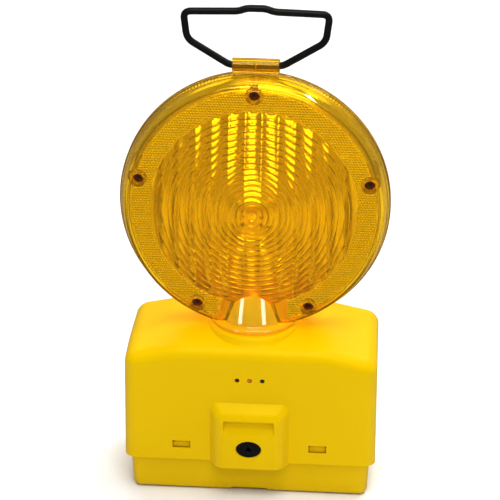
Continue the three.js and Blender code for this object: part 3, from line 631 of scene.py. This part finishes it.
# -------------------------------------------------------------------------------------------------
# Batteries. Two square lantern batteries in a plain blue printed sleeve with a pale band, a
# crimped top plate, and a tapering coil terminal of bright wire in the middle and at one corner.
# -------------------------------------------------------------------------------------------------
BATTERY_X, BATTERY_HALF = 49, 33.5
BATTERY_LOW, BATTERY_HIGH = 5.3, 103.3
CRIMP_NEAR, CRIMP_FAR = 2.4, 3.2  # the sleeve is nipped in between these, from either end
COIL_R, COIL_WIRE_R, COIL_TIP = 6.5, 0.5, 0.45
COIL_STEPS, COIL_RISE, COIL_TURNS = 108, 8.4, 3
NEGATIVE_OUT = 22

sleeve = Finish("battery_sleeve", (0.03, 0.08, 0.22), 0.3, Coat_Weight=0.3)
height = sleeve.split(sleeve.place())[2]
band = ((height - 0.070).size() < 0.012) + ((height - 0.026).size() < 0.002)
printed = sleeve.mix(sleeve.noise(30), (0.025, 0.07, 0.20), (0.035, 0.09, 0.25))
sleeve.set("Base Color", sleeve.mix(band.least(1), printed, (0.72, 0.70, 0.62)))
sleeve.set("Roughness", 0.28 + sleeve.noise(90, 4) * 0.15)
sleeve.bump(sleeve.noise(180, 3), 0.0001)

cap_plate = Finish("battery_cap", (0.02, 0.02, 0.022), 0.4)
cap_plate.set("Roughness", 0.35 + cap_plate.noise(140, 4) * 0.2)
cap_plate.bump(cap_plate.noise(700, 2), 0.00006)

wire = Finish("spring_wire", (0.62, 0.61, 0.58), 0.22, 1.0)
wire.set("Roughness", 0.18 + wire.noise(500, 3) * 0.15)
wire.bump(wire.noise(2500, 2), 0.00001)

for hand, side in (("left", -1), ("right", 1)):
    middle = BATTERY_X * side
    can = brick(middle - BATTERY_HALF, middle + BATTERY_HALF, -BATTERY_HALF, BATTERY_HALF,
                BATTERY_LOW, BATTERY_HIGH)
    round_off(can, [e for e in can.edges if upright(e)], 5, 6)
    lid = [f for f in can.faces if f.normal.z > 0.9]
    bmesh.ops.inset_region(can, faces=lid, thickness=1.4, depth=0)
    bmesh.ops.inset_region(can, faces=lid, thickness=0.5, depth=-1.2)
    for f in lid:
        f.material_index = 1
    slice_across(can, 2, (BATTERY_HIGH - CRIMP_FAR, BATTERY_HIGH - CRIMP_NEAR))
    slice_across(can, 2, (BATTERY_LOW + CRIMP_NEAR, BATTERY_LOW + CRIMP_FAR))
    for v in can.verts:
        from_end = min(BATTERY_HIGH - v.co.z, v.co.z - BATTERY_LOW)
        if CRIMP_NEAR - 0.3 < from_end < CRIMP_FAR + 0.3:
            v.co.x = middle + (v.co.x - middle) * 0.992
            v.co.y *= 0.992
    piece(f"battery_can_{hand}", can, [sleeve, cap_plate], "tray",
          [f"battery_{hand}"], lip=0.3)
    for pole, out in (("positive", 0), ("negative", NEGATIVE_OUT * side)):
        coil = bmesh.new()
        bmesh.ops.create_circle(coil, segments=10, radius=COIL_WIRE_R)
        moved(coil, TO_FRONT, (COIL_R, 0, 0))
        bmesh.ops.spin(
            coil, geom=coil.verts[:] + coil.edges[:], cent=(0, 0, 0), axis=(0, 0, 1),
            dvec=(0, 0, COIL_RISE / COIL_STEPS), angle=COIL_TURNS * math.tau, steps=COIL_STEPS,
        )
        bmesh.ops.holes_fill(coil, edges=[e for e in coil.edges if e.is_boundary], sides=0)
        bmesh.ops.recalc_face_normals(coil, faces=coil.faces)
        for v in coil.verts:
            taper = 1 - COIL_TIP * min(1, max(0, v.co.z / COIL_RISE))
            v.co.x *= taper
            v.co.y *= taper
        moved(coil, by=(middle + out, out, BATTERY_HIGH + 0.85))
        piece(f"battery_coil_{hand}_{pole}", coil, [wire], "tray",
              [f"battery_{hand}_{pole}_spring"])


# -------------------------------------------------------------------------------------------------
# Electronics under the roof. Brass plates under a black carrier meet the battery coils; a green
# control board hangs on two posts behind the three small holes: light sensor, status LED and mode
# button.
# -------------------------------------------------------------------------------------------------
black = Finish("black_moulding", (0.012, 0.012, 0.013), 0.42)
moulded = black.noise(160, 4, 0.6)
black.set("Base Color", black.mix(moulded, (0.009, 0.009, 0.010), (0.020, 0.020, 0.021)))
black.set("Roughness", 0.36 + moulded * 0.16)
black.bump(black.noise(1500, 2), 0.00004)
refinish(black, "contact_carrier", "led_socket", "led_connector", "controller_chip",
         "button_switch", "led_lead")

strip = Finish("brass_strip", (0.72, 0.52, 0.22), 0.3, 1.0)
strip.set("Roughness", 0.22 + strip.noise(300, 4) * 0.25)
strip.bump(strip.noise(120, 2, stretch=(1, 14, 1)), 0.00003)
refinish(strip, "contact_left_positive", "contact_left_negative", "contact_right_positive",
         "contact_right_negative")

board = Finish("board_green", (0.02, 0.16, 0.05), 0.35, Coat_Weight=0.4)
x, _, z = board.split(board.place())
tracks = ((x * 2600).wave() > 0.86) + ((z * 2100).wave() > 0.9)
patches = board.noise(130, 1) > 0.52
copper = tracks.least(1) * patches
board.set("Base Color", board.mix(copper, (0.012, 0.12, 0.035), (0.05, 0.30, 0.10)))
board.set("Roughness", 0.3 + board.noise(200, 3) * 0.15)
board.bump(copper, 0.00004)
refinish(board, "control_board")

dark_window = Finish("sensor_window", (0.03, 0.010, 0.006), 0.12, Coat_Weight=0.5)
smoke = dark_window.noise(900)
dark_window.set("Base Color", dark_window.mix(smoke, (0.02, 0.006, 0.004), (0.05, 0.02, 0.01)))
dark_window.bump(dark_window.noise(1200), 0.00002)
led_body = Finish("status_led_body", (0.55, 0.16, 0.02), 0.2, Coat_Weight=0.4)
embers = led_body.noise(700)
led_body.set("Base Color", led_body.mix(embers, (0.42, 0.10, 0.01), (0.62, 0.20, 0.03)))
led_body.bump(led_body.noise(1200), 0.00002)

EYE_SECTION = [(0, 0), (0.7, 0.05), (1.25, 0.3), (1.5, 0.8), (1.5, 3.0), (2.3, 3.0), (2.3, 7.3),
               (0, 7.3)]
for eye_name, eye_x, eye_finish, node, slot_name in (
    ("sensor_eye", -EYE_PITCH, dark_window, "light_sensor", "sensor_dark"),
    ("status_lamp", 0, led_body, "status_led", "led_clear"),
):
    shape = moved(turned(EYE_SECTION, 32, closed=False), TO_REAR, (eye_x, -44.0, EYE_Z))
    piece(eye_name, shape, [eye_finish], "case_hood", [node])

BUTTON_SECTION = [(0, 0.25), (0.6, 0.1), (1.1, 0), (1.45, 0.25), (1.5, 0.6), (1.5, 2.4),
                  (2.4, 2.4), (2.4, 3.1), (0, 3.1)]
button = turned(BUTTON_SECTION, 32, closed=False)
moved(button, TO_REAR, (EYE_PITCH, -43.6, EYE_Z))
piece("mode_button_cap", button, [black], "button", ["mode_button"])


# -------------------------------------------------------------------------------------------------
# Lock. An oval bezel in satin black, sunk in the boss, round a barrel with a three-sided key
# recess that a service key turns; the cam behind it hooks under the keeper of the tray.
# -------------------------------------------------------------------------------------------------
BARREL_HOLE_R = 5.2
satin_black = Finish("lock_black", (0.004, 0.004, 0.005), 0.3, Specular_IOR_Level=0.25)
satin_black.set("Roughness", 0.26 + satin_black.noise(300, 4) * 0.16)
satin_black.bump(satin_black.noise(1800, 2), 0.00002)
bezel = worked(
    tool(oval_plug(LOCK_HALF_X - 0.25, LOCK_HALF_Z - 0.25, -52.6, -49.0)),
    ("UNION", oval_plug(LOCK_HALF_X + 2, LOCK_HALF_Z + 1.6, -50.5, -48.9)),
    ("DIFFERENCE", disc_forward(BARREL_HOLE_R, 0, LOCK_Z, -56, -46, 48)),
)
piece("lock_bezel_oval", bezel, [satin_black], "case_hood", ["lock_bezel"],
      lip=0.4)
refinish(satin_black, "lock_barrel")


# -------------------------------------------------------------------------------------------------
# Swivel foot. One clear amber moulding, a little milky: a flange that lies over its gasket on the
# roof, a cone that carries the head, and a stub with a groove for the retaining ring below the
# roof. The gasket is amber too.
# -------------------------------------------------------------------------------------------------
def clear_amber(name, colour, darker, paler, clouds, gloss=(0.03, 0.015), tint=(1.0, 0.90, 0.55),
                **constants):
    """Glassy plastic with faint clouds; gloss is its roughness as a whole and at its least."""
    clear = Finish(name, colour, gloss[0], **constants)
    clear.set("Base Color", clear.mix(clear.noise(clouds, 3), darker, paler))
    clear.set("Roughness", gloss[1] + clear.noise(90, 4) * 0.04)
    clear.bump(clear.noise(120, 2), 0.00003)
    clear.pass_lamps(tint)
    return clear


SHELL = {"IOR": 1.58, "Transmission_Weight": 0.93, "Specular_Tint": (1.0, 0.72, 0.25, 1)}
amber = clear_amber("amber_clear", (0.735, 0.42, 0.012), (0.715, 0.405, 0.010),
                    (0.755, 0.435, 0.016), 35, **SHELL)
thin_amber = clear_amber("amber_band", (0.80, 0.56, 0.02), (0.78, 0.54, 0.015),
                         (0.83, 0.59, 0.025), 50, tint=(1.0, 0.95, 0.6), **SHELL)
milky = clear_amber("amber_foot", (0.88, 0.62, 0.015), (0.78, 0.47, 0.003), (0.86, 0.56, 0.008),
                    45, (0.04, 0.02), IOR=1.6, Transmission_Weight=0.5)

prism = Finish("amber_prisms", (0.95, 0.78, 0.06), 0.08, 0.42, IOR=1.58, Transmission_Weight=0.95)
prism.set("Base Color", prism.mix(prism.noise(40, 3), (0.92, 0.74, 0.05), (1.0, 0.86, 0.10)))
prism.set("Roughness", 0.05 + prism.noise(500, 3) * 0.08)
prism.bump(prism.noise(700, 2), 0.00003)
prism.pass_lamps((1.0, 0.90, 0.55))

FOOT_FLANGE = [(32.2, 130.2), (32.9, 130.8), (33, 131.6), (32.8, 132.9), (32.0, 133.5),
               (30.9, 133.5), (29.8, 133.0), (28.0, 133.1), (27.0, 133.8), (26.4, 135.4)]
FOOT_CONE = [(25.3, 140), (23.85, 146), (22.4, 152), (20.95, 158), (20.1, 161.5), (19.4, 163.2),
             (18.0, 164), (0, 164)]
FOOT_HOLLOW = [(0, 161.5), (17.9, 161.5), (18.3, 157), (21.6, 143), (22.4, 136), (20.6, 130.2),
               (20.6, 118)]
FOOT_STUB = [(23.2, 118), (24, 118.8), (24, 122.5), (22.4, 122.5), (22.4, 125.4), (24, 125.4),
             (24, 130.2)]
foot_section = FOOT_HOLLOW + FOOT_STUB + FOOT_FLANGE + FOOT_CONE
foot = turned(foot_section, 128, closed=False)
refinish(milky, "neck_gasket")
foot = piece("swivel_foot", foot, [milky], "lens_head", ["lens_foot"], sharp=50)

strip_lit = bpy.data.collections.new("strip_lit")  # what the two low strips shine on
strip_lit.objects.link(foot)
for strip_light in strips:
    strip_light.light_linking.receiver_collection = strip_lit


# -------------------------------------------------------------------------------------------------
# Lens shells. Two amber polycarbonate dishes, screwed together rim to rim. Outside they are
# smooth; inside the dome, rings of prisms climb outwards and drop back, crossed by upright
# cushion columns. The flat band round the dome is thin and clear, over the reflector.
# -------------------------------------------------------------------------------------------------
LENS_Z = 224.5
DOME_R, BAND_R, BAND_H, DOME_H = 75.5, 91, 19.7, 31
RISE = DOME_H - BAND_H
SPHERE_R = (DOME_R ** 2 + RISE ** 2) / (2 * RISE)
LENS_STEPS = 480
CORE_R, CORE_RINGS, OUTER_RINGS = 36, 9, 9
CREST = 0.82  # each ring climbs outwards over this share of its width, then drops back
CLIMB_ANGLE, CLIMB_FALL = 21, 0.13  # degrees at the middle, and degrees lost with each millimetre
BULGE = 0.62  # how far a climb bows out
COLUMN, CORE_COLUMN_DEPTH, OUTER_COLUMN_DEPTH = 12, 0.8, 1.05
SKIN = 0.8  # the least thickness over the prisms


def dome(r):
    return DOME_H - (SPHERE_R - math.sqrt(SPHERE_R * SPHERE_R - r * r))


def cushion(place, cell):
    across = 2 * (place / cell - math.floor(place / cell)) - 1
    return 1 - across * across


def ring_depth(r, start, width):
    climb = math.tan(math.radians(CLIMB_ANGLE - CLIMB_FALL * r)) * min(1, (r + 4) / 26)
    along = (r - start) / width
    along -= math.floor(along + 1e-6)
    top = climb * width * CREST
    if along > CREST:
        return top * (1 - along) / (1 - CREST)
    share = along / CREST
    return top * (share + BULGE * share * (1 - share))


def prism_depth(x, r):
    column = cushion(x + COLUMN / 2, COLUMN)
    if r < CORE_R:
        columns = CORE_COLUMN_DEPTH * column * min(1, r / CORE_R)
        return ring_depth(r, 0, CORE_R / CORE_RINGS) + columns
    return ring_depth(r, CORE_R, (DOME_R - CORE_R) / OUTER_RINGS) + OUTER_COLUMN_DEPTH * column


RING_SPOTS = (0, 0.2, 0.41, 0.62, CREST)


def ring_stops(start, end, rings):
    return [start + (end - start) * (i + spot) / rings for i in range(rings) for spot in RING_SPOTS]


prism_stops = ring_stops(0, CORE_R, CORE_RINGS) + ring_stops(CORE_R, DOME_R, OUTER_RINGS)
SHOULDER = [
    (DOME_R, BAND_H), (83, BAND_H), (BAND_R - 0.3, BAND_H), (BAND_R + 0.5, BAND_H - 0.1),
    (BAND_R + 1.0, BAND_H - 0.6), (BAND_R + 1.3, BAND_H - 1.5), (BAND_R + 1.8, BAND_H - 2.0),
    (BAND_R + 2.8, BAND_H - 2.1), (BAND_R + 3.6, BAND_H - 2.6), (BAND_R + 4.2, BAND_H - 3.8),
    (96.6, 12), (98.2, 7), (99.2, 3.4), (100, 2.9), (100, 1.0), (99.6, 0.6),
]
outside = [(r, dome(r)) for r in (0, 8, 16, 24, 32, 40, 48, 56, 63, 70, 74)] + SHOULDER
FACETS = [(97.0, 3.7), (96.4, 6.8), (95.5, 9.9), (94.3, 13.0)]  # small prisms inside the wall
FACET_SWELL = 0.0036
inside = [(97.6, 0.6), *FACETS, (92.4, 16.0), (90.6, 17.3), (83, 17.3), (DOME_R, 17.3)]
inside += [(r, dome(r) - SKIN) for r in reversed(prism_stops)]

SCREW_R = 87
SCREW_ANGLES = [math.radians(angle) for angle in (90, 14.5, 165.5, -61.5, 241.5)]
screw_spots = [(SCREW_R * math.cos(a), LENS_Z + SCREW_R * math.sin(a)) for a in SCREW_ANGLES]


def lens_shell(turn):
    """A dish whose faces are marked amber (0), prism (1) or thin amber (2)."""
    shell = turned(outside + inside, LENS_STEPS, closed=False)
    for v in shell.verts:
        r = math.hypot(v.co.x, v.co.y)
        if r < DOME_R - 0.1 and v.co.z < dome(r) - SKIN / 2:
            v.co.z -= prism_depth(v.co.x, r)
        for row, (facet_r, facet_h) in enumerate(FACETS):
            if abs(r - facet_r) + abs(v.co.z - facet_h) < 0.01:
                step = round(math.atan2(v.co.y, v.co.x) * LENS_STEPS / math.tau)
                grown = 1 + (FACET_SWELL if (row + step) % 2 else -FACET_SWELL)
                v.co.x *= grown
                v.co.y *= grown
    for f in shell.faces:
        middle = f.calc_center_median()
        r = math.hypot(middle.x, middle.y)
        wall_r = 98.3 - 0.24 * middle.z
        in_dome = r < DOME_R and middle.z < dome(min(r, DOME_R)) - SKIN / 2
        in_wall = 91.3 < r < wall_r and middle.z < 17.2
        in_band = DOME_R < r < BAND_R + 0.2 and middle.z > 17.2
        on_wall = r > wall_r and 3.2 < middle.z < 19
        f.material_index = 2 if in_band or on_wall else int(in_dome or in_wall)
    stock = tool(moved(shell, turn, (0, 0, LENS_Z)))
    for finish in (amber, prism, thin_amber):
        stock.data.materials.append(finish.material)
    return stock


def foot_clearance():
    section = [(0, 100), (34, 100), (34, 134.0), (27.8, 134.0), (27.2, 135.6), (20.9, 161.6),
               (18.4, 164.8), (0, 164.8)]
    return turned(section, 96, closed=False)


def below_flange():
    """All that lies lower than the top of the foot's flange, where the dishes are cut flat."""
    return brick(-130, 130, -60, 60, 80, 133.8)


def at_screws(r, first_y, last_y, steps=32):
    return [disc_forward(r, x, z, first_y, last_y, steps) for x, z in screw_spots]


SHANK_R, WELL_R = 2.1, 4.3
BARREL_Z, BARREL_HALF, BARREL_R = 329, 17, 5.2
bed = disc(BARREL_R + 0.3, -BARREL_HALF - 0.6, BARREL_HALF + 0.6, 48)
wells = at_screws(WELL_R, -24, -BAND_H + 7.8)
shanks = at_screws(SHANK_R, -24, 11, 20)
front_shell = worked(
    lens_shell(TO_FRONT),
    *[("UNION", tube) for tube in at_screws(6.4, -BAND_H + 0.5, -1.2)],
    *[("DIFFERENCE", bore) for pair in zip(wells, shanks) for bore in pair],
    ("DIFFERENCE", foot_clearance()),
    ("DIFFERENCE", below_flange()),
    ("DIFFERENCE", moved(bed, TO_SIDE, (0, 0, BARREL_Z))),
)
front_shell = piece("lens_shell_front", front_shell, [amber, prism, thin_amber], "lens_head",
                    ["front_lens"], sharp=28)

barrel_section = [(3.0, -BARREL_HALF), (4.6, -BARREL_HALF), (BARREL_R, -BARREL_HALF + 0.6),
                  (BARREL_R, BARREL_HALF - 0.6), (4.6, BARREL_HALF), (3.0, BARREL_HALF)]
barrel = moved(turned(barrel_section, 64), TO_SIDE, (0, 0, BARREL_Z))
web_half = BARREL_HALF - 0.4
web = brick(-web_half, web_half, 0.7, 5.0, LENS_Z + 96.5, BARREL_Z - 3.4)
rear_shell = worked(
    lens_shell(TO_REAR),
    *[("UNION", pillar) for pillar in at_screws(5, 1.2, BAND_H - 0.5)],
    *[("DIFFERENCE", bore) for bore in at_screws(SHANK_R, -2, 12, 20)],
    ("DIFFERENCE", foot_clearance()),
    ("DIFFERENCE", below_flange()),
    ("UNION", web),
    ("UNION", barrel),
)
rear_shell = piece("lens_shell_rear", rear_shell, [amber, prism, thin_amber], "lens_head",
                   ["rear_lens"], sharp=28)

prism_lit = bpy.data.collections.new("prism_lit")  # what the prism light shines on
prism_lit.objects.link(front_shell)
prism_lit.objects.link(rear_shell)
prism_light.light_linking.receiver_collection = prism_lit


# -------------------------------------------------------------------------------------------------
# Reflector rings and lens seal. Amber retroreflective sheet behind each clear band, its face one
# close field of tiny corner prisms, bumped in; the fine points where they catch the light are
# painted glints, pale yellow lifted into its colour. A black ring seals the joint between the
# shells.
# -------------------------------------------------------------------------------------------------
reflector = Finish("reflector_sheet", (1.0, 0.80, 0.01), 0.3, 0.25, Coat_Weight=0.3)
x, _, z = reflector.split(reflector.place())
lattice = (z * 3400).wave() + (x * 2944 + z * 1700).wave() + (x * 2944 - z * 1700).wave()
glitter = reflector.noise(650, 1)
# painted glints: patches where the colour is lifted to pale yellow, standing in for light the
# prisms throw back
painted_glint_patches = (reflector.noise(38, 1) > 0.56) * (glitter > 0.6)
# painted sparkle: lattice, glitter and glint patches lift the base colour towards pale yellow as
# painted highlights
painted_sparkle = lattice * 0.33 + glitter * 0.8 + painted_glint_patches * 0.8
painted_sparkle = painted_sparkle.most(0).least(1)
reflector.set("Base Color", reflector.mix(painted_sparkle, (0.82, 0.56, 0.0), (1.0, 1.0, 0.05)))
reflector.set("Roughness", 0.2 + glitter * 0.25)
reflector.bump(lattice + glitter, 0.0004)

SHEET_SECTION = [(76.5, 15.5), (77.2, 15.1), (88.6, 15.1), (89.5, 15.5), (89.5, 16.6),
                 (89.1, 17.0), (83, 17.0), (76.9, 17.0), (76.5, 16.6)]
PILLAR_GAP_R, FOOT_GAP_R = 6.9, 31
for name, turn in (("front", TO_FRONT), ("rear", TO_REAR)):
    sheet = worked(
        tool(moved(turned(SHEET_SECTION, 192), turn, (0, 0, LENS_Z))),
        *[("DIFFERENCE", hole) for hole in at_screws(PILLAR_GAP_R, -30, 30, 40)],
        ("DIFFERENCE", disc(FOOT_GAP_R, 90, 168, 96)),
    )
    piece(f"reflector_ring_{name}", sheet, [reflector], "lens_head",
          [f"reflector_{name}"], lip=0.15)

SEAL_SECTION = [(97.8, -0.5), (99, -0.5), (99, 0.5), (97.8, 0.5)]
joint = moved(turned(SEAL_SECTION, 192), TO_FRONT, (0, 0, LENS_Z))
joint_ring = worked(tool(joint), ("DIFFERENCE", foot_clearance()))
piece("lens_seal", joint_ring, [rubber], "lens_head", ["lens_gasket"])


# -------------------------------------------------------------------------------------------------
# Lamp. A yellow post stands on the foot, and the lead runs up inside it. On each side it carries
# an amber board with two rows of dark marks, and a clear LED.
# -------------------------------------------------------------------------------------------------
post = Finish("post_yellow", (0.90, 0.80, 0.02), 0.35)
post_clouds = post.noise(60, 3)
post.set("Base Color", post.mix(post_clouds, (0.86, 0.76, 0.015), (0.92, 0.84, 0.03)))
post.set("Roughness", 0.3 + post_clouds * 0.15)
post.bump(post.noise(900, 2), 0.00005)
refinish(post, "led_post")

marked = Finish("led_board", (0.6, 0.36, 0.03), 0.4)
x, _, z = marked.split(marked.place())
rows = ((z - 0.2150).size() < 0.0016) + ((z - 0.2060).size() < 0.0016)
dashes = rows * ((x * 900).wave() > -0.8) * (x.size() > 0.0045)
marked.set("Base Color", marked.mix(dashes, (0.80, 0.55, 0.03), (0.03, 0.008, 0.004)))
marked.set("Roughness", 0.35 + marked.noise(300, 3) * 0.15)
marked.bump(dashes, 0.0003)
refinish(marked, "led_board_front", "led_board_rear")

clear_led = Finish("led_lens", (1.0, 0.5, 0.05), 0.08, Coat_Weight=0.8)
warmth = clear_led.noise(300)
clear_led.set("Base Color", clear_led.mix(warmth, (1.0, 0.74, 0.12), (1.0, 0.84, 0.25)))
clear_led.bump(clear_led.noise(800), 0.00002)
refinish(clear_led, "led_front", "led_rear")


# -------------------------------------------------------------------------------------------------
# Handle. One steel wire dipped in black plastic and bent to a carrying loop, raised in the middle
# so that it hangs level on a hook. Its two ends meet inside the barrel, where it turns.
# -------------------------------------------------------------------------------------------------
dipped = Finish("dipped_wire", (0.004, 0.004, 0.004), 0.35, Specular_IOR_Level=0.14)
runs = dipped.noise(130, 4, 0.6)
dipped.set("Base Color", dipped.mix(runs, (0.003, 0.003, 0.003), (0.008, 0.008, 0.008)))
dipped.set("Roughness", 0.26 + runs * 0.16)
dipped.bump(runs + dipped.noise(900, 2) * 0.2, 0.00012)

WIRE_R = 2.6
ARC_STEPS = 8
BENDS = [(0.5, 0, 0), (19, 0, 4), (49.6, 18.6, 5.5), (52, 38.8, 5.5), (12.6, 39.8, 3.2),
         (6.8, 42.0, 2.9)]  # right half, from the barrel: out, up, and how far each bend reaches
both_halves = BENDS + [(-x, z, reach) for x, z, reach in reversed(BENDS)]
corners = [Vector((x, 0, z)) for x, z, _ in both_halves]
reaches = [reach for _, _, reach in both_halves]
centre_line = [corners[0]]
for before, at, after, reach in zip(corners, corners[1:], corners[2:], reaches[1:]):
    enter = at + (before - at).normalized() * reach
    leave = at + (after - at).normalized() * reach
    for i in range(ARC_STEPS + 1):
        t = i / ARC_STEPS
        centre_line.append(enter * (1 - t) ** 2 + at * 2 * t * (1 - t) + leave * t * t)
centre_line.append(corners[-1])

curve = bpy.data.curves.new("handle_wire", "CURVE")
curve.dimensions = "3D"
curve.bevel_depth = WIRE_R * MM
curve.bevel_resolution = 6
curve.use_fill_caps = True
line = curve.splines.new("POLY")
line.points.add(len(centre_line) - 1)
for point, spot in zip(line.points, centre_line):
    point.co = (spot.x * MM, CASE_BACK * MM, (spot.z + BARREL_Z) * MM, 1)
drawn = bpy.data.objects.new("drawn", curve)
bpy.context.collection.objects.link(drawn)
bpy.context.view_layer.update()
settled = drawn.evaluated_get(bpy.context.evaluated_depsgraph_get())
handle_mesh = bpy.data.meshes.new_from_object(settled)
bpy.data.objects.remove(drawn)
handle = bpy.data.objects.new("handle_loop", handle_mesh)
bpy.context.collection.objects.link(handle)
handle_mesh.materials.clear()
piece("handle_loop", handle, [dipped], "carry_handle", ["handle"])

bpy.context.view_layer.update()
